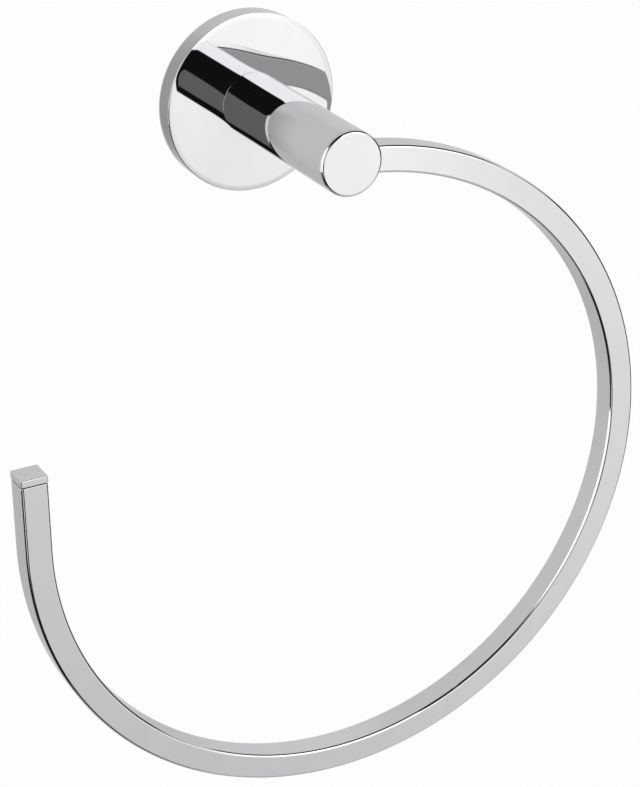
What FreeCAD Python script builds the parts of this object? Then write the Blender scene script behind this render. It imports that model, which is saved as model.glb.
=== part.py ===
import FreeCAD, Part
import math
import os

# Open towel ring on a round wall flange.
# Millimetres. Origin: centre of the wall face. +X to the viewer's right, -Y out of the wall, +Z up.
# "Out" is a distance from the wall, measured along -Y.

Vector = FreeCAD.Vector
RIGHT = Vector(1, 0, 0)
INTO_WALL = Vector(0, 1, 0)
OUT_OF_WALL = Vector(0, -1, 0)
UP = Vector(0, 0, 1)
CENTRE = Vector(0, 0, 0)
FULL_TURN = 360
SAME = 1e-6

# Flange: a round cup that covers the wall bracket.
flange_diameter = 54.0
flange_depth = 7.0
flange_front_wall = 1.6
flange_skirt_wall = 2.0
flange_edge_bevel = 0.4

# Wall bracket: a dished plate inside the flange, with a flat under the grub screw.
bracket_clearance = 0.3
bracket_plate = 1.8
bracket_rim_wall = 3.0
bracket_rim_height = 4.9
bracket_edge_bevel = 0.6
bracket_hole_diameter = 4.5
bracket_hole_spacing = 30.0
bracket_flat_depth = 2.0

# Grub screw that clamps the flange to the bracket from below.
grub_diameter = 4.0
grub_recess = 0.4
grub_point_diameter = 2.0
grub_point_length = 1.0
grub_key = 2.0
grub_key_depth = 1.8

# Post: a round bar square to the wall.
post_diameter = 19.0
post_reach = 68.0
post_rear_bevel = 0.2

# Screw and washer that hold the post to the flange.
post_screw_diameter = 5.0
post_screw_clearance = 0.15
post_screw_grip = 10.0
post_screw_head_diameter = 8.5
post_screw_head_height = 2.4
post_screw_key = 3.0
post_screw_key_depth = 1.4
washer_diameter = 10.0
washer_thickness = 0.6

# Tapped holes: how far they run past the screw's end, and the gap that stands for the thread.
tapped_run_out = 1.5
thread_gap = 0.02

# Ring: square tube, bent through three quarters of a circle from the top clockwise to the left.
ring_outer_diameter = 200.0
ring_sweep = 270.0
ring_centre_offset = -1.5
ring_lead_in = 2.5
ring_tail = 21.2
tube_side = 8.0
tube_wall = 1.0
tube_corner_bevel = 0.4

# End plug of the tube: a plate as wide as the tube, on a spigot.
plug_plate = 2.3
plug_spigot_length = 9.0
plug_spigot_clearance = 0.05
plug_edge_bevel = 0.2

# Core inside the tube's hidden end.
core_length = 12.0
core_clearance = 0.05

# Countersunk screw that clamps the tube's hidden end in the post.
ring_screw_diameter = 3.0
ring_screw_clearance = 0.2
ring_screw_grip = 8.0
ring_screw_head_diameter = 5.6
ring_screw_head_land = 0.3
ring_screw_sink = 0.05
ring_screw_key = 2.0
ring_screw_key_depth = 1.0

# Slot in the post's front end that the tube lies in.
slot_clearance = 0.05

# End cap: a disc with two pegs that closes the post's front end.
cap_thickness = 1.2
cap_edge_bevel = 0.4
cap_peg_diameter = 2.4
cap_peg_length = 4.0
cap_peg_spacing = 6.5
cap_peg_wall = 1.4
cap_peg_clearance = 0.03

# Places that follow from the sizes above.
flange_radius = flange_diameter / 2
flange_bore_radius = flange_radius - flange_skirt_wall
flange_inner_face = flange_depth - flange_front_wall
bracket_radius = flange_bore_radius - bracket_clearance
bracket_dish_radius = bracket_radius - bracket_rim_wall
bracket_flat = bracket_radius - bracket_flat_depth
grub_out = bracket_rim_height / 2
post_radius = post_diameter / 2
post_front = post_reach - cap_thickness
post_screw_radius = post_screw_diameter / 2
post_screw_hole_radius = post_screw_radius + post_screw_clearance
post_screw_tip = flange_depth + post_screw_grip
washer_face = flange_inner_face - washer_thickness
ring_radius = (ring_outer_diameter - tube_side) / 2
ring_centre = Vector(ring_centre_offset, 0, -ring_radius)
ring_start = ring_centre_offset - ring_lead_in
tube_bore = tube_side - 2 * tube_wall
tube_middle = post_front - tube_side / 2
tube_rear = post_front - tube_side
slot_end = ring_start - slot_clearance
ring_screw_radius = ring_screw_diameter / 2
ring_screw_top = post_front - ring_screw_sink
ring_screw_tip = tube_rear - ring_screw_grip
cap_peg_radius = cap_peg_diameter / 2
cap_peg_x = slot_end - cap_peg_wall - cap_peg_radius
cap_peg_heights = (-cap_peg_spacing / 2, cap_peg_spacing / 2)


def bar(radius, near, far, x=0.0, z=0.0):
    """Round bar square to the wall, from the near to the far distance out."""
    return Part.makeCylinder(radius, far - near, Vector(x, -near, z), OUT_OF_WALL)


def turned(profile):
    """Solid turned about the post's axis, from corners given as (radius, distance out)."""
    corners = [Vector(radius, -out, 0) for radius, out in profile]
    outline = Part.makePolygon(corners + corners[:1])
    return Part.Face(outline).revolve(CENTRE, INTO_WALL, FULL_TURN)


def key_socket(across_flats, depth, mouth, direction):
    """Hexagonal hole for a key, from the middle of its mouth along the direction."""
    to_corner = RIGHT * (across_flats / math.sqrt(3))
    corners = []
    for corner in range(6):
        turn = FreeCAD.Rotation(direction, corner * FULL_TURN / 6)
        corners.append(mouth + turn.multVec(to_corner))
    outline = Part.makePolygon(corners + corners[:1])
    return Part.Face(outline).extrude(direction * depth)


def bevel_rim(shape, bevel, rim_radius, out):
    """Bevel the circular edge about the post's axis that has this radius and distance out."""
    rim = []
    for edge in shape.Edges:
        curve = edge.Curve
        if not isinstance(curve, Part.Circle):
            continue
        on_axis = math.hypot(curve.Center.x, curve.Center.z) < SAME
        same_size = abs(curve.Radius - rim_radius) < SAME
        same_place = abs(curve.Center.y + out) < SAME
        if on_axis and same_size and same_place:
            rim.append(edge)
    return shape.makeChamfer(bevel, rim)


def square_face(side, corner_bevel=0.0):
    """Square across the ring's line, where the arc starts, with bevelled or sharp corners."""
    half = side / 2
    flat = half - corner_bevel
    middle = Vector(ring_centre_offset, -tube_middle, 0)
    corners = []
    for quarter in range(4):
        turn = FreeCAD.Rotation(RIGHT, quarter * FULL_TURN / 4)
        corners.append(middle + turn.multVec(Vector(0, half, flat)))
        if corner_bevel:
            corners.append(middle + turn.multVec(Vector(0, flat, half)))
    return Part.Face(Part.makePolygon(corners + corners[:1]))


def along_ring(face, lead_in, sweep, tail=0.0):
    """Carry a face along the ring's line: a straight lead-in, the arc, and a straight tail."""
    lead = face.extrude(RIGHT * -lead_in)
    arc = face.revolve(ring_centre, INTO_WALL, sweep)
    body = lead.fuse(arc)
    if tail:
        turn = FreeCAD.Rotation(INTO_WALL, sweep)
        last_face = face.rotated(ring_centre, INTO_WALL, sweep)
        body = body.fuse(last_face.extrude(turn.multVec(RIGHT) * tail))
    return body.removeSplitter()


def arc_angle(length):
    """Angle of the ring's arc that is this long on the centre line, in degrees."""
    return math.degrees(length / ring_radius)


def make_flange():
    """Cup with a hole for the post's screw and a tapped hole for the grub screw."""
    cup = turned([
        (post_screw_hole_radius, flange_inner_face),
        (post_screw_hole_radius, flange_depth),
        (flange_radius, flange_depth),
        (flange_radius, 0),
        (flange_bore_radius, 0),
        (flange_bore_radius, flange_inner_face),
    ])
    cup = bevel_rim(cup, flange_edge_bevel, flange_radius, flange_depth)
    tapped_radius = grub_diameter / 2 + thread_gap
    tapped_hole = Part.makeCylinder(tapped_radius, flange_radius, Vector(0, -grub_out, 0), -UP)
    return cup.cut(tapped_hole)


def make_wall_bracket():
    """Dished plate with a raised rim, two screw holes and a flat under the grub screw."""
    dish = turned([
        (0, 0),
        (bracket_radius, 0),
        (bracket_radius, bracket_rim_height),
        (bracket_dish_radius, bracket_rim_height),
        (bracket_dish_radius, bracket_plate),
        (0, bracket_plate),
    ])
    dish = bevel_rim(dish, bracket_edge_bevel, bracket_radius, bracket_rim_height)
    for side in (-1, 1):
        hole_x = side * bracket_hole_spacing / 2
        dish = dish.cut(bar(bracket_hole_diameter / 2, 0, bracket_plate, hole_x))
    corner = Vector(-bracket_radius, -bracket_rim_height, -bracket_radius)
    below_flat = Part.makeBox(2 * bracket_radius, bracket_rim_height, bracket_flat_depth, corner)
    return dish.cut(below_flat)


def make_grub_screw():
    """Socket screw with a turned-down point that bears on the bracket's flat."""
    length = flange_radius - grub_recess - bracket_flat
    radius = grub_diameter / 2
    point_radius = grub_point_diameter / 2
    top = Vector(0, -grub_out, -bracket_flat)
    shoulder = top - UP * grub_point_length
    mouth = top - UP * length
    point = Part.makeCone(point_radius, radius, grub_point_length, top, -UP)
    body = Part.makeCylinder(radius, length - grub_point_length, shoulder, -UP)
    return point.fuse(body).cut(key_socket(grub_key, grub_key_depth, mouth, UP))


def post_slot():
    """Room for the tube's end: open towards the front and the right, and following the arc."""
    half = tube_side / 2 + slot_clearance
    slot_floor = tube_rear - slot_clearance
    corner = Vector(ring_centre_offset, -post_reach, -half)
    face = Part.makePlane(post_reach - slot_floor, 2 * half, corner, RIGHT, INTO_WALL)
    past_the_side = arc_angle(post_diameter)
    return along_ring(face, ring_lead_in + slot_clearance, past_the_side)


def make_post():
    """Round bar with a slot for the tube, tapped holes for two screws and holes for the cap's pegs."""
    post = bar(post_radius, flange_depth, post_front)
    post = bevel_rim(post, post_rear_bevel, post_radius, flange_depth)
    post = post.cut(post_slot())
    rear_radius = post_screw_radius + thread_gap
    post = post.cut(bar(rear_radius, flange_depth, post_screw_tip + tapped_run_out))
    front_radius = ring_screw_radius + thread_gap
    post = post.cut(bar(front_radius, ring_screw_tip - tapped_run_out, tube_rear))
    peg_hole_floor = post_front - cap_peg_length - cap_peg_clearance
    for height in cap_peg_heights:
        hole_radius = cap_peg_radius + cap_peg_clearance
        post = post.cut(bar(hole_radius, peg_hole_floor, post_front, cap_peg_x, height))
    return post


def make_post_washer():
    """Flat washer between the flange's inner face and the screw's head."""
    washer = bar(washer_diameter / 2, washer_face, flange_inner_face)
    return washer.cut(bar(post_screw_hole_radius, washer_face, flange_inner_face))


def make_post_screw():
    """Low-head screw from inside the flange into the post."""
    head_rear = washer_face - post_screw_head_height
    head = bar(post_screw_head_diameter / 2, head_rear, washer_face)
    shank = bar(post_screw_radius, washer_face, post_screw_tip)
    mouth = OUT_OF_WALL * head_rear
    return head.fuse(shank).cut(key_socket(post_screw_key, post_screw_key_depth, mouth, OUT_OF_WALL))


def countersunk(head_radius, shank_radius, tip, top):
    """Countersunk form on the post's axis: a shank, a right-angled cone and a short land."""
    land_rear = ring_screw_top - ring_screw_head_land
    cone_height = head_radius - shank_radius
    cone_start = OUT_OF_WALL * (land_rear - cone_height)
    cone = Part.makeCone(shank_radius, head_radius, cone_height, cone_start, OUT_OF_WALL)
    shank = bar(shank_radius, tip, land_rear)
    return shank.fuse([cone, bar(head_radius, land_rear, top)])


def ring_screw_hole():
    """Hole for the countersunk screw, through the tube and its core."""
    head_radius = ring_screw_head_diameter / 2 + thread_gap
    shank_radius = ring_screw_radius + ring_screw_clearance
    return countersunk(head_radius, shank_radius, tube_rear, post_front)


def make_ring_screw():
    """Countersunk socket screw along the post's axis."""
    head_radius = ring_screw_head_diameter / 2
    screw = countersunk(head_radius, ring_screw_radius, ring_screw_tip, ring_screw_top)
    mouth = OUT_OF_WALL * ring_screw_top
    return screw.cut(key_socket(ring_screw_key, ring_screw_key_depth, mouth, INTO_WALL))


def make_ring():
    """Bent square tube, with a countersunk hole near its hidden end."""
    outside = along_ring(square_face(tube_side, tube_corner_bevel), ring_lead_in, ring_sweep, ring_tail)
    bore = along_ring(square_face(tube_bore), ring_lead_in, ring_sweep, ring_tail)
    return outside.cut(bore).cut(ring_screw_hole())


def make_ring_core():
    """Short core that backs the tube's walls under the screw."""
    face = square_face(tube_bore - 2 * core_clearance)
    core = along_ring(face, ring_lead_in, arc_angle(core_length - ring_lead_in))
    return core.cut(ring_screw_hole())


def make_ring_end_plug():
    """Plate over the tube's free end, with a spigot in its bore."""
    turn = FreeCAD.Rotation(INTO_WALL, ring_sweep)
    along = turn.multVec(RIGHT)
    plate_start = square_face(tube_side, tube_corner_bevel)
    plate_start.rotate(ring_centre, INTO_WALL, ring_sweep)
    plate_start.translate(along * ring_tail)
    plate = plate_start.extrude(along * plug_plate)
    end_height = ring_centre.z + ring_tail + plug_plate
    end_edges = [edge for edge in plate.Edges if edge.BoundBox.ZMin > end_height - SAME]
    plate = plate.makeChamfer(plug_edge_bevel, end_edges)
    spigot_end = square_face(tube_bore - 2 * plug_spigot_clearance)
    spigot_end.rotate(ring_centre, INTO_WALL, ring_sweep)
    spigot_end.translate(along * ring_tail)
    return plate.fuse(spigot_end.extrude(-along * plug_spigot_length))


def make_end_cap():
    """Disc over the post's front end, with two pegs beside the slot."""
    cap = bar(post_radius, post_front, post_reach)
    cap = bevel_rim(cap, cap_edge_bevel, post_radius, post_reach)
    for height in cap_peg_heights:
        cap = cap.fuse(bar(cap_peg_radius, post_front - cap_peg_length, post_front, cap_peg_x, height))
    return cap


parts = {
    "flange": make_flange(),
    "wall_bracket": make_wall_bracket(),
    "flange_grub_screw": make_grub_screw(),
    "post": make_post(),
    "post_washer": make_post_washer(),
    "post_screw": make_post_screw(),
    "ring": make_ring(),
    "ring_core": make_ring_core(),
    "ring_screw": make_ring_screw(),
    "ring_end_plug": make_ring_end_plug(),
    "end_cap": make_end_cap(),
}

os.makedirs("parts", exist_ok=True)
for name, shape in parts.items():
    shape.exportStep(f"parts/{name}.step")
    box = shape.BoundBox
    corners = [box.XMin, box.YMin, box.ZMin, box.XMax, box.YMax, box.ZMax]
    rounded = [round(value, 2) for value in corners]
    print(name, shape.ShapeType, len(shape.Solids), "solid", shape.isValid(), round(shape.Volume, 1), rounded)
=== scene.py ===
# %% [markdown]
# # Open towel ring on a round wall flange
# The object is a chrome-plated towel ring that hangs on a wall. A round flange covers a bracket, a round post
# stands out from the flange, and a square tube, bent through three quarters of a circle, starts in the post's
# front end, under a thin end cap. The tube's free end points up and is closed by a small plug.
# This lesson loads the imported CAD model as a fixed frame, builds smooth surfaces for the five chrome pieces, gives
# every piece its finish, and lights them as a white tent does, because chrome has no look of its own:
# it shows what stands round it.

# %% Load the frame
import math

import bmesh
import bpy
import numpy as np
from mathutils import Matrix, Vector


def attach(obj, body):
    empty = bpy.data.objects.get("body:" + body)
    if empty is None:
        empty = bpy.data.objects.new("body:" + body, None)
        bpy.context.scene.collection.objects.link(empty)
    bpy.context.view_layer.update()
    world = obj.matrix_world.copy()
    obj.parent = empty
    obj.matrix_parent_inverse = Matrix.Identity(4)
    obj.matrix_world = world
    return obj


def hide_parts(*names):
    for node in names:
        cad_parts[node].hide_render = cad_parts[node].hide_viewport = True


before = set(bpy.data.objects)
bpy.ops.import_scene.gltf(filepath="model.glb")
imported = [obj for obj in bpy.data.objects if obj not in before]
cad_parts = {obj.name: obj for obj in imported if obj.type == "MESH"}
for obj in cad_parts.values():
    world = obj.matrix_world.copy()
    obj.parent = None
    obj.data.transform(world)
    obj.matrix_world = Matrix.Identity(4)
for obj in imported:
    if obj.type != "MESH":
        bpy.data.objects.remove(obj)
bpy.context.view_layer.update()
print("CAD nodes:", ", ".join(sorted(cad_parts)))

# %% [markdown]
# ## The camera
# The camera stands to the left of the object and above it, and looks down at it. Its place, its turn and its lens
# were found by least squares: the outlines of the flange, the cap and the ring in the photograph were set against
# circles and lines of known size. The photograph's frame is 640 by 787 pixels, and the width of the sensor
# stands for the 640.

# %% Camera at the photograph's angle
MM = 0.001
IMAGE_WIDTH = 640
FOCAL_PIXELS = 2352.19
CAMERA_PLACE = Vector((-291.267, -601.273, 218.516)) * MM
CAMERA_YAW, CAMERA_PITCH, CAMERA_ROLL = (math.radians(a) for a in (-27.7336, -25.3302, 0.7384))

camera_data = bpy.data.cameras.new("camera")
camera_data.sensor_fit = "HORIZONTAL"
camera_data.sensor_width = 36
camera_data.lens = FOCAL_PIXELS / IMAGE_WIDTH * camera_data.sensor_width
camera = bpy.data.objects.new("camera", camera_data)
bpy.context.scene.collection.objects.link(camera)
looks_along_y = Matrix.Rotation(math.radians(90), 4, "X")
turn = Matrix.Rotation(CAMERA_YAW, 4, "Z") @ Matrix.Rotation(CAMERA_PITCH, 4, "X")
turn = turn @ Matrix.Rotation(CAMERA_ROLL, 4, "Y")
camera.matrix_world = Matrix.Translation(CAMERA_PLACE) @ turn @ looks_along_y
bpy.context.scene.camera = camera
print("Lens:", round(camera_data.lens, 2), "mm")

# %% [markdown]
# ## Two ways to make a surface
# Every chrome piece is turned on a lathe or carried along a line, so two helpers are enough. Both work out a
# grid of points as one array and hand it to the mesh. The first corner of a grid meets its last where the form is
# closed, and a row that shrinks to a point makes a pole, whose doubles are merged.
# Sharp corners never look right in chrome, so profiles get small arcs, and a point just before and after
# each arc keeps the shading of the flat faces flat.

# %% Grid to mesh
def surface(name, grids):
    """Mesh object from grids of points in millimetres, rows by columns by 3, each closed along its columns.

    A grid whose last row equals its first is closed along its rows too: the doubles are merged.
    """
    all_points, all_faces, start = [], [], 0
    for grid in grids:
        rows, columns = grid.shape[:2]
        index = np.arange(rows * columns).reshape(rows, columns) + start
        ahead = np.roll(index, -1, axis=1)
        quads = np.stack([index[:-1], ahead[:-1], ahead[1:], index[1:]], axis=-1).reshape(-1, 4)
        all_points.append(grid.reshape(-1, 3) * MM)
        all_faces.append(quads)
        start += rows * columns
    mesh = bpy.data.meshes.new(name)
    mesh.from_pydata(np.concatenate(all_points).tolist(), [], np.concatenate(all_faces).tolist())
    form = bmesh.new()
    form.from_mesh(mesh)
    bmesh.ops.remove_doubles(form, verts=form.verts, dist=1e-7)
    bmesh.ops.recalc_face_normals(form, faces=form.faces)
    form.to_mesh(mesh)
    form.free()
    piece = bpy.data.objects.new(name, mesh)
    bpy.context.scene.collection.objects.link(piece)
    return piece


def softened(corners, steps=8, guard=0.04):
    """Outline through corners (first coordinate, second coordinate, radius), with an arc at each corner.

    Each arc touches both sides at radius times the tangent of half the turn, and its points
    are the centre plus the radius times the cosine and sine of evenly spaced angles.
    """
    points = []
    last = len(corners) - 1
    for place, (a, b, radius) in enumerate(corners):
        corner = np.array((a, b), float)
        if place in (0, last) or radius == 0:
            points.append(corner[None])
            continue
        before = np.array(corners[place - 1][:2], float) - corner
        after = np.array(corners[place + 1][:2], float) - corner
        before /= np.linalg.norm(before)
        after /= np.linalg.norm(after)
        half = np.arccos(np.clip(before @ after, -1, 1)) / 2
        reach = radius / np.tan(half)
        middle = corner + (before + after) / np.linalg.norm(before + after) * radius / np.sin(half)
        begin, end = corner + before * reach - middle, corner + after * reach - middle
        span = np.pi - 2 * half
        share = np.linspace(0, 1, steps + 1)[:, None]
        arc = (np.sin((1 - share) * span) * begin + np.sin(share * span) * end) / np.sin(span) + middle
        points += [(corner + before * (reach + guard))[None], arc, (corner + after * (reach + guard))[None]]
    return np.concatenate(points)


def turned(profile, columns=384, x=0.0, z=0.0):
    """Grid of a form turned about the post's axis, or a line beside it: x + r cos t, -out, z + r sin t."""
    angle = np.linspace(0, 2 * np.pi, columns, endpoint=False)
    radius, out = profile[:, :1], profile[:, 1:2]
    return np.stack([x + radius * np.cos(angle), -out + 0 * angle, z + radius * np.sin(angle)], axis=-1)


quarter = softened([(0, 0, 0), (5, 0, 1), (5, 5, 0)])
print("An arc of a quarter turn has", len(quarter) - 2, "points with its guards")

# %% [markdown]
# ## Cutting holes
# Holes and slots are cut as they are in the workshop, after the form is made: a cutter is built with the same
# helpers, and Blender's exact boolean takes it away. Edges that turn by more than 35 degrees stay crisp, and all
# others are shaded as one smooth surface.

# %% Cut and finish
CRISP_EDGE = math.radians(35)


def cut(piece, cutters):
    """Take the cutters' volume out of the piece, and remove the cutters."""
    for cutter in cutters:
        modifier = piece.modifiers.new("cut", "BOOLEAN")
        modifier.operation = "DIFFERENCE"
        modifier.solver = "EXACT"
        modifier.object = cutter
    graph = bpy.context.evaluated_depsgraph_get()
    result = bpy.data.meshes.new_from_object(piece.evaluated_get(graph))
    piece.modifiers.clear()
    piece.data = result
    for cutter in cutters:
        bpy.data.objects.remove(cutter)


def hand_over(piece, node):
    """Shade the piece and let it stand for its CAD node."""
    piece.data.shade_smooth()
    piece.data.set_sharp_from_angle(angle=CRISP_EDGE)
    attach(piece, "root")
    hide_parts(node)
    print(piece.name, "has", len(piece.data.polygons), "faces")


# %% [markdown]
# ## The flange
# The flange is a shallow brass cup, 54 mm across and 7 mm deep, pressed or turned, then polished and plated. The
# mirror pictures in it bend in a way that a flat face doesn't give. Of the faces that were tried, this one comes
# nearest: it falls away from the post as a very shallow cone, a little steeper close to the post, and its last
# two millimetres roll over, so that the mirror picture of the post stops short of the rim. A hole in the underside
# takes the grub screw.

# %% Flange
FLANGE_RADIUS, FLANGE_DEPTH = 27.0, 7.0
FLANGE_BORE, FLANGE_INNER_FACE = 25.0, 5.4
SCREW_HOLE = 2.65
GRUB_OUT, GRUB_HOLE = 2.45, 2.02
DRILL_START, DRILL_END = 20, 30
FACE_START, FACE_END = 9.0, 26.85
CONE, BOSS, BOSS_REACH = 0.012, 0.032, 6.0
ROLL_START, ROLL_SLOPE = 25.2, math.radians(5.5)
RIM_DROP = 0.04


def face_height(across):
    """How far out the face lies at a radius: its depth less three drops.

    The cone's drop grows evenly, the boss's drop fades as e to the minus distance over its reach, and the
    rolled edge is a parabola that ends at its slope.
    """
    cone = CONE * (across - FACE_START)
    boss = BOSS * BOSS_REACH * (1 - np.exp((FACE_START - across) / BOSS_REACH))
    roll = np.maximum(across - ROLL_START, 0) ** 2 * math.tan(ROLL_SLOPE) / (2 * (FACE_END - ROLL_START))
    return FLANGE_DEPTH - cone - boss - roll


across = np.concatenate([np.linspace(FACE_START, ROLL_START, 60), np.linspace(ROLL_START + 0.1, FACE_END, 20)])
crown = np.stack([across, face_height(across)], axis=-1)
face_edge = face_height(FACE_END)
flange_edge = softened([
    (FACE_END, face_edge, 0), (FLANGE_RADIUS, face_edge - RIM_DROP, 0.1), (FLANGE_RADIUS, 0, 0.15),
    (FLANGE_BORE, 0, 0.1), (FLANGE_BORE, FLANGE_INNER_FACE, 0.4), (SCREW_HOLE, FLANGE_INNER_FACE, 0.05),
    (SCREW_HOLE, FLANGE_DEPTH, 0.05), (FACE_START, FLANGE_DEPTH, 0)])
flange = surface("flange_cup", [turned(np.concatenate([crown, flange_edge[1:]]), 512)])


def rod(radius, near, far):
    """Outline of a plain cylinder about an axis, from near to far."""
    return np.array([(0, near), (radius, near), (radius, far), (0, far)], float)


drill_grid = turned(rod(GRUB_HOLE, DRILL_START, DRILL_END), 96)
drill_grid = np.stack([drill_grid[..., 0], drill_grid[..., 2] - GRUB_OUT, drill_grid[..., 1]], axis=-1)
cut(flange, [surface("grub_drill", [drill_grid])])
print("The face falls", round(FLANGE_DEPTH - face_edge, 2), "mm from the post to the rim")
hand_over(flange, "flange")

# %% [markdown]
# ## The line that the ring follows
# The tube starts inside the post, runs 2.5 mm straight, goes round 270 degrees of a circle of radius 96 mm and ends
# in a straight tail. A place on that line is given by the angle of the arc and by how far it lies before the start
# or past the end, and a cross-section is a square with rounded corners.

# %% Along the ring's line
RING_RADIUS, RING_CENTRE_X = 96.0, -1.5
RING_SWEEP = 270.0
LEAD_IN, TAIL = 2.5, 21.2
TUBE_MIDDLE = 62.8
TUBE_HALF, BORE_HALF = 4.0, 3.0
POST_FRONT, POST_REACH = 66.8, 68.0


def rounded_square(half, radius, steps=8, guard=0.04):
    """Closed loops of a square with rounded corners, one loop for each half side and corner radius.

    A quarter arc stands at each corner's centre, half side less radius from both middles,
    and one guard point lies just before and after it on the straight sides.
    """
    half, radius = np.broadcast_arrays(np.atleast_1d(half).astype(float), radius)
    angle = np.concatenate([[0], np.linspace(0, np.pi / 2, steps + 1), [np.pi / 2]])
    slide = np.concatenate([[-guard], np.zeros(steps + 1), [guard]])
    small = np.minimum(1, (half - radius) / guard / 2)[:, None]
    a = (half - radius)[:, None] + radius[:, None] * np.cos(angle) - small * np.maximum(slide, 0)
    b = (half - radius)[:, None] + radius[:, None] * np.sin(angle) + small * np.minimum(slide, 0)
    return np.concatenate([np.stack(pair, axis=-1) for pair in ((a, b), (-b, a), (-a, -b), (b, -a))], axis=1)


def carried(angle, past, half, radius, middle=TUBE_MIDDLE):
    """Grid of squares along the ring's line, from the arc angle in degrees and the straight length past it.

    The place is the centre plus the radius times (sin t, cos t), and moves past along the
    tangent (cos t, -sin t); the square's first side points away from the centre, its second out of the wall.
    """
    loop = rounded_square(half, radius)
    turn = np.radians(np.asarray(angle, float))[:, None]
    past = np.asarray(past, float)[:, None]
    reach = RING_RADIUS + loop[..., 0]
    x = RING_CENTRE_X + reach * np.sin(turn) + past * np.cos(turn)
    z = -RING_RADIUS + reach * np.cos(turn) - past * np.sin(turn)
    return np.stack([x, -middle - loop[..., 1], z], axis=-1)


print("Centre line:", round(LEAD_IN + math.radians(RING_SWEEP) * RING_RADIUS + TAIL, 1), "mm long")

# %% [markdown]
# ## The ring
# The ring is drawn square tube, 8 mm by 8 mm, rolled into its arc. Drawing and polishing leave its corners with a
# radius of about 0.8 mm, and that small radius is what draws the fine dark and white lines along the ring in chrome.
# The surface goes out along the tube's outside and comes back along its bore, so that both ends have a real
# wall. A countersunk hole near the start takes the screw that clamps the tube in the post.

# %% Ring
TUBE_CORNER, BORE_CORNER = 0.8, 0.1
END_BREAK = 0.12
HOLD = 0.2
HEAD_HOLE, SHANK_HOLE = 2.82, 1.7
CONE_START, CONE_END = 65.33, 66.45
arc = np.arange(0, RING_SWEEP + 0.25, 0.5)
ease = np.linspace(0, np.pi / 2, 5)
end_inset = END_BREAK * (1 - np.cos(ease))
end_ahead = END_BREAK * (np.sin(ease) - 1)


def there_and_back(outer_half, inner_half, outer_radius, inner_radius):
    """Angles, straight lengths, half sides and corner radii out along the outside and back along the bore.

    Both ends are broken by a quarter arc, and a row a short hold away from each keeps the straight run straight.
    """
    angle = np.concatenate([np.zeros(6), arc, np.full(8, RING_SWEEP), arc[::-1], np.zeros(2)])
    start = -LEAD_IN - end_ahead[::-1]
    finish = TAIL + end_ahead
    past = np.concatenate([start, [-LEAD_IN + HOLD], 0 * arc, [TAIL - HOLD], finish, [TAIL, TAIL - HOLD], 0 * arc,
                           [-LEAD_IN + HOLD, -LEAD_IN]])
    inset = np.concatenate([end_inset[::-1], [0], 0 * arc, [0], end_inset])
    outside = len(inset)
    half = np.concatenate([outer_half - inset, np.full(len(past) - outside, inner_half)])
    radius = np.concatenate([np.full(outside, outer_radius), np.full(len(past) - outside, inner_radius)])
    return angle, past, half, radius


ring_grid = carried(*there_and_back(TUBE_HALF, BORE_HALF, TUBE_CORNER, BORE_CORNER))
ring = surface("ring_tube", [np.concatenate([ring_grid, ring_grid[:1]])])
countersink = np.array([(0, 50), (SHANK_HOLE, 50), (SHANK_HOLE, CONE_START), (HEAD_HOLE, CONE_END), (HEAD_HOLE, 70),
                        (0, 70)], float)
cut(ring, [surface("countersink", [turned(countersink, 96)])])
hand_over(ring, "ring")

# %% [markdown]
# ## The end plug
# A small square plug closes the tube's free end: a plate as wide as the tube, on a spigot in the bore. The plate
# stands 0.3 mm clear of the tube's end, and both have a tiny broken edge. The gap is a guess from the thin dark
# line that the photograph shows there.

# %% End plug
PLUG_PLATE, PLUG_SPIGOT, PLUG_EDGE, PLUG_CORNER = 2.3, 9.0, 0.22, 0.35
SEAM_GAP, SPIGOT_PLAY, SPIGOT_CORNER, FOOT_CORNER = 0.3, 0.05, 0.2, 0.5
GUARD = 0.05
seam = TAIL + SEAM_GAP
foot = TAIL - PLUG_SPIGOT
top = TAIL + PLUG_PLATE
spigot = BORE_HALF - SPIGOT_PLAY
rise = np.linspace(0, np.pi / 2, 9)
plug_past = np.concatenate([
    [foot, foot, foot + SPIGOT_CORNER, seam - 0.04, seam, seam],
    seam + END_BREAK * (1 - np.cos(ease)), [seam + END_BREAK + GUARD, top - PLUG_EDGE - GUARD],
    top - PLUG_EDGE + PLUG_EDGE * np.sin(rise), [top, top]])
plug_half = np.concatenate([
    [0, spigot - SPIGOT_CORNER, spigot, spigot, spigot, TUBE_HALF - END_BREAK - GUARD],
    TUBE_HALF - END_BREAK + END_BREAK * np.sin(ease), [TUBE_HALF, TUBE_HALF],
    TUBE_HALF - PLUG_EDGE + PLUG_EDGE * np.cos(rise), [TUBE_HALF - PLUG_EDGE - GUARD, 0]])
plug_radius = np.full(len(plug_half), PLUG_CORNER)
plug_radius[:6] = [0] + [SPIGOT_CORNER] * 4 + [FOOT_CORNER]
plug_grid = carried(np.full(len(plug_past), RING_SWEEP), plug_past, plug_half, np.minimum(plug_half, plug_radius))
plug = surface("tube_end_plug", [plug_grid])
hand_over(plug, "ring_end_plug")

# %% [markdown]
# ## The post
# The post is 19 mm round brass bar, faced at both ends. Its rear edge has a tiny bevel, which leaves a fine line
# where it meets the flange. Its front end has a slot that the tube lies in, a tapped hole for the tube's screw
# and two holes for the cap's pegs.

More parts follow.
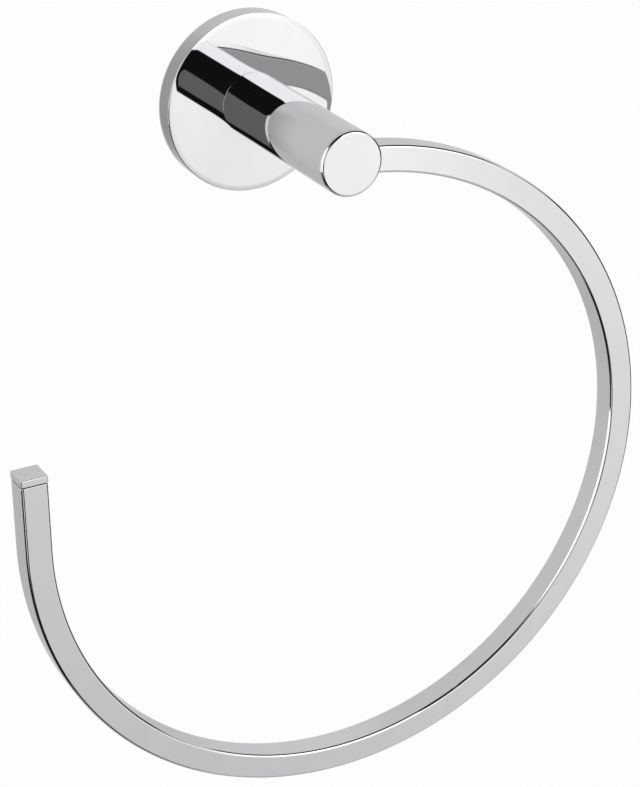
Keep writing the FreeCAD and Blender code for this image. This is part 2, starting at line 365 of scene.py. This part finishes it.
# %% Post
POST_RADIUS, POST_BEVEL = 9.5, 0.12
FIXING_HOLE, FIXING_END = 2.52, 18.5
TAPPED_HOLE, TAPPED_END = 1.52, 49.3
PEG_HOLE, PEG_HOLE_END = 1.23, 62.77
PEG_X, PEG_HEIGHTS = -6.65, (-3.25, 3.25)
SLOT_GAP, SLOT_OPEN = 0.05, 4.0
post_profile = softened([
    (0, FIXING_END, 0), (FIXING_HOLE, FIXING_END, 0.02), (FIXING_HOLE, FLANGE_DEPTH, 0.02),
    (POST_RADIUS, FLANGE_DEPTH, POST_BEVEL), (POST_RADIUS, POST_FRONT, 0.05), (0, POST_FRONT, 0)])
post = surface("post_bar", [turned(post_profile)])

slot_angle = np.concatenate([[0, 0], np.arange(0, 12, 0.5), [11.5]])
slot_past = np.concatenate([[-LEAD_IN - SLOT_GAP] * 2, np.zeros(25)])
slot_size = np.concatenate([[0], np.full(25, TUBE_HALF + SLOT_GAP), [0]])
slot_cutter = carried(slot_angle, slot_past, slot_size, np.minimum(slot_size, 0.01))
in_front = slot_cutter[..., 1] < -TUBE_MIDDLE
slot_cutter[..., 1] -= SLOT_OPEN * in_front
post_cutters = [surface("slot", [slot_cutter]),
                surface("tapping_drill", [turned(rod(TAPPED_HOLE, TAPPED_END, 60), 64)])]
for height in PEG_HEIGHTS:
    peg_drill = turned(rod(PEG_HOLE, PEG_HOLE_END, 70), 64, PEG_X, height)
    post_cutters.append(surface("peg_drill", [peg_drill]))
cut(post, post_cutters)
hand_over(post, "post")

# %% [markdown]
# ## The end cap
# A thin disc closes the post's front end and hides the screw. It is turned and polished, with a rounded edge that
# shows as a dark and a white line round it, and two pegs behind it press into the post.

# %% End cap
CAP_EDGE = 0.8
PEG_RADIUS, PEG_END, PEG_ROOT = 1.2, 62.8, 0.2
cap_profile = softened([(0, POST_FRONT, 0), (POST_RADIUS, POST_FRONT, 0.05), (POST_RADIUS, POST_REACH, CAP_EDGE),
                        (0, POST_REACH, 0)], steps=12)
peg = rod(PEG_RADIUS, PEG_END, POST_FRONT + PEG_ROOT)
pegs = [turned(peg, 64, PEG_X, height) for height in PEG_HEIGHTS]
cap = surface("end_cap_disc", [turned(cap_profile)] + pegs)
hand_over(cap, "end_cap")

# %% [markdown]
# ## From written colours to light
# Colours are written as they look on a screen, as sRGB hex values, and shaders want linear light. One function
# turns one into the other, and one more adds a node with its settings and its links, so that each material below
# reads as a short list.

# %% Colour and node helpers
def linear(hex_colour):
    """Linear colour with alpha from sRGB hex: below 0.04045 divide by 12.92, above it raise to 2.4."""
    parts = np.array([int(hex_colour[i:i + 2], 16) / 255 for i in (1, 3, 5)])
    curve = np.where(parts <= 0.04045, parts / 12.92, ((parts + 0.055) / 1.055) ** 2.4)
    return (*curve.tolist(), 1.0)


def add(tree, kind, inputs=(), **settings):
    """Add a node; inputs are pairs of a socket's name or number and a value or an output to link."""
    node = tree.nodes.new("ShaderNode" + kind)
    for name, value in settings.items():
        setattr(node, name, value)
    for socket, value in dict(inputs).items():
        if isinstance(value, bpy.types.NodeSocket):
            tree.links.new(value, node.inputs[socket])
        else:
            node.inputs[socket].default_value = value
    return node


def new_material(name):
    """Empty node material with its output, and the tree to add nodes to."""
    material = bpy.data.materials.new(name)
    material.use_nodes = True
    material.node_tree.nodes.clear()
    return material, material.node_tree


print("Mid grey is", round(linear("#808080")[0], 3), "in linear light")

# %% [markdown]
# ## Polished chrome plate
# Bright chrome is a thin layer of chromium on nickel on polished brass. It gives back a little over half of the
# light, almost without colour, and as sharply as a mirror. What keeps it from looking like a computed mirror is
# small: faint waves a few millimetres long that the polishing mop leaves, and thin patches where handling has
# dulled it by a trace. Both are drawn from noise on the object's own coordinates.

# %% Chrome
chrome, tree = new_material("polished_chrome_plate")
place = add(tree, "TexCoord").outputs["Object"]
patches = add(tree, "TexNoise", {"Vector": place, "Scale": 1 / (9 * MM), "Detail": 3.0, "Roughness": 0.55})
dulling = add(tree, "MapRange", {"Value": patches.outputs["Fac"], "From Min": 0.35, "From Max": 0.75,
                                 "To Min": 0.012, "To Max": 0.035})
waves = add(tree, "TexNoise", {"Vector": place, "Scale": 1 / (6 * MM), "Detail": 1.0})
ripple = add(tree, "Bump", {"Height": waves.outputs["Fac"], "Strength": 0.02, "Distance": 0.05 * MM})
tint = add(tree, "MapRange", {"Value": patches.outputs["Fac"], "From Min": 0.3, "From Max": 0.7,
                              "To Min": 0.0, "To Max": 1.0})
plate = add(tree, "Mix", {0: tint.outputs["Result"], 6: linear("#C3C4C6"), 7: linear("#C6C7C8")}, data_type="RGBA")
shader = add(tree, "BsdfPrincipled", {"Base Color": plate.outputs[2], "Metallic": 1.0,
                                      "Roughness": dulling.outputs["Result"], "Normal": ripple.outputs["Normal"],
                                      "Specular Tint": linear("#E8E8E8")})
add(tree, "OutputMaterial", {"Surface": shader.outputs[0]})
print("Chrome gives back", round(linear("#C4C5C6")[0], 2), "of the light")

# %% [markdown]
# ## Die-cast zinc
# The bracket behind the flange and the core in the tube are zinc castings that nobody sees, so they stay as cast:
# dull grey, with cloudy flow marks where the metal chilled on the die, and a fine grain.

# %% Zinc
zinc, tree = new_material("die_cast_zinc")
place = add(tree, "TexCoord").outputs["Object"]
clouds = add(tree, "TexNoise", {"Vector": place, "Scale": 1 / (7 * MM), "Detail": 5.0, "Distortion": 1.2})
grain = add(tree, "TexNoise", {"Vector": place, "Scale": 1 / (0.5 * MM), "Detail": 2.0})
skin = add(tree, "Mix", {0: clouds.outputs["Fac"], 6: linear("#8E9093"), 7: linear("#B4B5B6")}, data_type="RGBA")
dull = add(tree, "MapRange", {"Value": clouds.outputs["Fac"], "From Min": 0.3, "From Max": 0.7,
                              "To Min": 0.38, "To Max": 0.55})
pits = add(tree, "Bump", {"Height": grain.outputs["Fac"], "Strength": 0.35, "Distance": 0.06 * MM})
shader = add(tree, "BsdfPrincipled", {"Base Color": skin.outputs[2], "Metallic": 1.0,
                                      "Roughness": dull.outputs["Result"], "Normal": pits.outputs["Normal"]})
add(tree, "OutputMaterial", {"Surface": shader.outputs[0]})
print("Zinc has flow marks about 7 mm long and grain of half a millimetre")

# %% [markdown]
# ## Turned steel
# The screws and the washer are plain steel from an automatic lathe. The tool leaves fine rings round each
# one's axis, a few tenths of a millimetre apart here so that they show, and the steel is a little darker and bluer
# than the chrome.

# %% Steel
steel, tree = new_material("turned_steel")
place = add(tree, "TexCoord").outputs["Object"]
rings = add(tree, "TexWave", {"Vector": place, "Scale": 1 / (1.2 * MM), "Distortion": 0.6, "Detail": 2.0},
            wave_type="RINGS", rings_direction="Y")
smears = add(tree, "TexNoise", {"Vector": place, "Scale": 1 / (2 * MM), "Detail": 3.0})
shade = add(tree, "Mix", {0: smears.outputs["Fac"], 6: linear("#9A9DA1"), 7: linear("#B0B2B5")}, data_type="RGBA")
rough = add(tree, "MapRange", {"Value": smears.outputs["Fac"], "From Min": 0.3, "From Max": 0.7,
                               "To Min": 0.22, "To Max": 0.34})
grooves = add(tree, "Bump", {"Height": rings.outputs["Fac"], "Strength": 0.25, "Distance": 0.03 * MM})
shader = add(tree, "BsdfPrincipled", {"Base Color": shade.outputs[2], "Metallic": 1.0,
                                      "Roughness": rough.outputs["Result"], "Normal": grooves.outputs["Normal"]})
add(tree, "OutputMaterial", {"Surface": shader.outputs[0]})
print("Steel has turning rings")

# %% [markdown]
# ## Which piece has which finish
# The five outside pieces are chrome. The CAD nodes that stay, all of them inside the flange, the post or the tube,
# are zinc or steel.

# %% Give the finishes
for piece in (flange, ring, plug, post, cap):
    piece.data.materials.clear()
    piece.data.materials.append(chrome)
hidden_finishes = {"wall_bracket": zinc, "ring_core": zinc, "flange_grub_screw": steel, "post_washer": steel,
                   "post_screw": steel, "ring_screw": steel}
for node, finish in hidden_finishes.items():
    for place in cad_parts[node].material_slots:
        place.material = finish
    print(node, "is", finish.name)

# %% [markdown]
# ## The white tent
# Chrome is photographed in a tent of white cloth. Everything round the object is white, apart from the dark opening
# in front that the camera looks through, and the cards and lamps that stand near it. The world is that tent,
# worked out from the direction alone, and each part of it is drawn with two small functions: a soft step, and a
# blend from one brightness to another. In front, a direction is given by two numbers as on a flat wall: how far
# right and how far up it goes for each step out from the wall. The places and strengths of its parts were found
# by trial against the photograph: they make one tent that gives this picture, and maybe not the one that was there.

# %% Directions, steps and blends
world = bpy.data.worlds.new("white_tent")
bpy.context.scene.world = world
world.use_nodes = True
tree = world.node_tree
tree.nodes.clear()


def calc(operation, *values):
    """Output of one Math node in the newest tree, with numbers or outputs as its values."""
    return add(tree, "Math", dict(enumerate(values)), operation=operation).outputs[0]


def step(value, low, high):
    """Soft step from 0 at low to 1 at high, where low may be above high."""
    return add(tree, "MapRange", {"Value": value, "From Min": low, "From Max": high},
               interpolation_type="SMOOTHSTEP", clamp=True).outputs[0]


def blend(share, without, there):
    """Value that goes from without to there as the share goes from 0 to 1."""
    return calc("ADD", without, calc("MULTIPLY", share, calc("SUBTRACT", there, without)))


def overlap(first, *others):
    """Share of the place where all the shares overlap: their product."""
    for other in others:
        first = calc("MULTIPLY", first, other)
    return first


towards = add(tree, "SeparateXYZ", {0: add(tree, "TexCoord").outputs["Generated"]}).outputs
to_right, to_wall, to_top = towards[0], towards[1], towards[2]
outwards = calc("MAXIMUM", calc("MULTIPLY", to_wall, -1.0), 0.02)
right = calc("DIVIDE", to_right, outwards)
up = calc("DIVIDE", to_top, outwards)
spread = calc("SQRT", calc("ADD", calc("MULTIPLY", right, right), calc("MULTIPLY", up, up)))
print("The directions take", len(tree.nodes), "nodes")

# %% [markdown]
# ### The dark opening
# The opening lies left of a slightly slanting edge of cloth. It shows as the black band along the post. A grey card
# leans into its lower left and shows as the grey band, and the bright cloth beyond the card shows as the thin
# white crescent at the end of both. Straight ahead hangs one more light card, so that the faces that point
# forward aren't black when somebody looks at them from the front.

# %% The opening and its cards
OPENING_LIGHT, CARD_LIGHT, AHEAD_LIGHT = 0.015, 0.33, 1.1
BEYOND_LIGHT, FAR_BEYOND_LIGHT = 2.0, 1.2
edge = calc("MULTIPLY_ADD", up, -0.08, 0.20)
left_of_edge = step(calc("SUBTRACT", right, edge), 0.02, -0.02)
opening = overlap(left_of_edge, step(to_wall, -0.30, -0.40))
card_side = calc("ADD", calc("MULTIPLY", right, -0.891), calc("MULTIPLY", up, -0.454))
above_foot = step(up, -0.72, -0.65)
card = overlap(step(card_side, 0.40, 0.43), calc("MAXIMUM", step(spread, 0.78, 0.70), above_foot))
beyond = overlap(step(card_side, 0.44, 0.50), step(spread, 0.76, 0.82), above_foot)
beyond_light = blend(step(spread, 0.92, 1.08), BEYOND_LIGHT, FAR_BEYOND_LIGHT)
opening_light = blend(card, OPENING_LIGHT, CARD_LIGHT)
opening_light = blend(beyond, opening_light, beyond_light)
opening_light = blend(step(spread, 0.33, 0.27), opening_light, AHEAD_LIGHT)
print("The opening is", OPENING_LIGHT, "bright, its card", CARD_LIGHT)

# %% [markdown]
# ### The lit cloth in front
# Right of the edge, the front of the tent is lit. It grows brighter upwards and to the right, and it is brighter still
# near the edge. Faces that point forward show it to the camera, so it gives the cap, the ring's front and the
# lower half of the flange their pale grey. Above the horizon a softbox makes the flange's upper half white.

# %% Panels and softbox
SOFTBOX_LIGHT = 2.7
near_panel = calc("MULTIPLY_ADD", to_top, 1.64, 2.08)
far_panel = calc("MULTIPLY_ADD", to_top, 1.3, 1.73)
near_edge = overlap(step(to_right, 0.53, 0.455), step(to_top, -0.46, -0.37))
panel = calc("MULTIPLY", blend(near_edge, far_panel, near_panel), calc("MULTIPLY_ADD", to_right, 0.5, 0.77))
front_light = blend(step(up, -0.05, 0.15), panel, SOFTBOX_LIGHT)
front = overlap(step(right, 1.25, 1.05), step(to_wall, -0.45, -0.6))
print("The softbox is", SOFTBOX_LIGHT, "bright")

# %% [markdown]
# ### The cloth all round
# The rest is plain cloth, a little greyer towards the floor and a little brighter at the upper right. Three
# places are dark: a gap on the right, the open top over the camera and a corner low on the left. They draw the
# fine dark lines on the rounded edges of the cap, the tube and the plug, where a mirror no wider than a
# millimetre shows half the room. One lamp on the left gives the white lines beside them.

# %% Cloth, dark places and lamp
CLOTH_LIGHT, CLOTH_FALL, CLOTH_FLOOR, RIGHT_GAIN = 0.9, 0.18, 0.5, 0.11
GAP_LIGHT, TOP_LIGHT, CORNER_LIGHT, LAMP_LIGHT = 0.06, 0.03, 0.02, 2.0
below = calc("MINIMUM", calc("ADD", to_top, 0.1), 0.0)
cloth = calc("MAXIMUM", calc("MULTIPLY_ADD", below, CLOTH_FALL, CLOTH_LIGHT), CLOTH_FLOOR)
upper_right = overlap(step(to_right, 0.1, 0.45), step(to_top, -0.2, 0.05))
cloth = calc("MULTIPLY_ADD", upper_right, RIGHT_GAIN, cloth)
gap = overlap(step(to_right, 0.68, 0.76), step(to_wall, 0.35, 0.20),
              step(to_top, 0.20, 0.10), step(to_top, -0.62, -0.48))
open_top = overlap(step(up, 1.0, 1.12), step(to_top, 0.35, 0.43), step(to_wall, 0.42, 0.30))
low_corner = overlap(step(to_top, -0.40, -0.44), step(to_right, -0.35, -0.45), step(to_wall, 0.30, 0.15))
lamp = overlap(step(to_right, -0.70, -0.78), step(to_top, -0.44, -0.40))
tent = blend(front, cloth, front_light)
tent = blend(gap, tent, GAP_LIGHT)
tent = blend(open_top, tent, TOP_LIGHT)
tent = blend(low_corner, tent, CORNER_LIGHT)
tent = blend(opening, tent, opening_light)
tent = blend(lamp, tent, LAMP_LIGHT)
print("The world has", len(tree.nodes), "nodes")

# %% [markdown]
# ### Who sees the tent
# Only mirror reflections see the tent. The camera and soft surfaces see plain white.

# %% World output
is_glossy = add(tree, "LightPath").outputs["Is Glossy Ray"]
light = add(tree, "Background", {"Color": linear("#FFFFFF"), "Strength": blend(is_glossy, 1.0, tent)})
add(tree, "OutputWorld", {"Surface": light.outputs[0]})
print("Light for the camera and for soft surfaces: 1.0")

# %% [markdown]
# ## The floor
# A plain pale floor lies far below the ring, lower than any camera that looks up at it. It takes the object's soft
# shadow, and mirror reflections pass it by, because in the tent they see its cloth.

# %% Floor
FLOOR_HEIGHT, FLOOR_HALF = -1.8, 12.0
corners = np.array([(-1, -1), (1, -1), (1, 1), (-1, 1)]) * FLOOR_HALF
floor_mesh = bpy.data.meshes.new("floor")
floor_mesh.from_pydata([(x, y, FLOOR_HEIGHT) for x, y in corners.tolist()], [], [(0, 1, 2, 3)])
floor = bpy.data.objects.new("floor", floor_mesh)
bpy.context.scene.collection.objects.link(floor)
floor.visible_glossy = False
paper, tree = new_material("white_paper")
shader = add(tree, "BsdfDiffuse", {"Color": (0.985, 0.985, 0.985, 1)})
add(tree, "OutputMaterial", {"Surface": shader.outputs[0]})
floor_mesh.materials.append(paper)
bpy.context.scene.view_settings.view_transform = "Standard"
print("The floor lies", -FLOOR_HEIGHT, "m below the post's axis")

# %% [markdown]
# ## The shadow on the wall
# On a wall, the place behind the flange's left side lies in the flange's own shade, away from the lights. The
# flange's side shows that shade in its mirror. A thin ring round the flange, which only reflections see, takes
# away part of their light and is clear where the shade ends.

# %% Shade behind the flange
SHADE_INNER, SHADE_OUTER, SHADE_BEHIND = 27.6, 44.0, 0.6
SHADE_DEPTH = 0.40
turn_steps = np.linspace(0, 2 * np.pi, 96, endpoint=False)
spread_steps = np.linspace(SHADE_INNER, SHADE_OUTER, 8)[:, None]
shade_grid = np.stack([spread_steps * np.cos(turn_steps), SHADE_BEHIND + 0 * spread_steps * turn_steps,
                       spread_steps * np.sin(turn_steps)], axis=-1)
shade_ring = surface("wall_shade", [shade_grid])
for ray in ("camera", "diffuse", "transmission", "volume_scatter", "shadow"):
    setattr(shade_ring, "visible_" + ray, False)
shade_card, tree = new_material("wall_in_shade")
spot = add(tree, "SeparateXYZ", {0: add(tree, "TexCoord").outputs["Object"]}).outputs
off_axis = calc("SQRT", calc("ADD", calc("MULTIPLY", spot[0], spot[0]), calc("MULTIPLY", spot[2], spot[2])))
fading = step(off_axis, SHADE_OUTER * MM, SHADE_INNER * MM)
left_side = step(calc("MULTIPLY_ADD", spot[2], -0.17, spot[0]), -14 * MM, -29 * MM)
depth = overlap(fading, left_side, SHADE_DEPTH)
clear = add(tree, "BsdfTransparent").outputs[0]
black = add(tree, "Emission", {"Color": linear("#000000"), "Strength": 0.0}).outputs[0]
add(tree, "OutputMaterial", {"Surface": add(tree, "MixShader", {0: depth, 1: clear, 2: black}).outputs[0]})
shade_ring.data.materials.append(shade_card)
print("The shade reaches", SHADE_OUTER - SHADE_INNER, "mm past the flange")
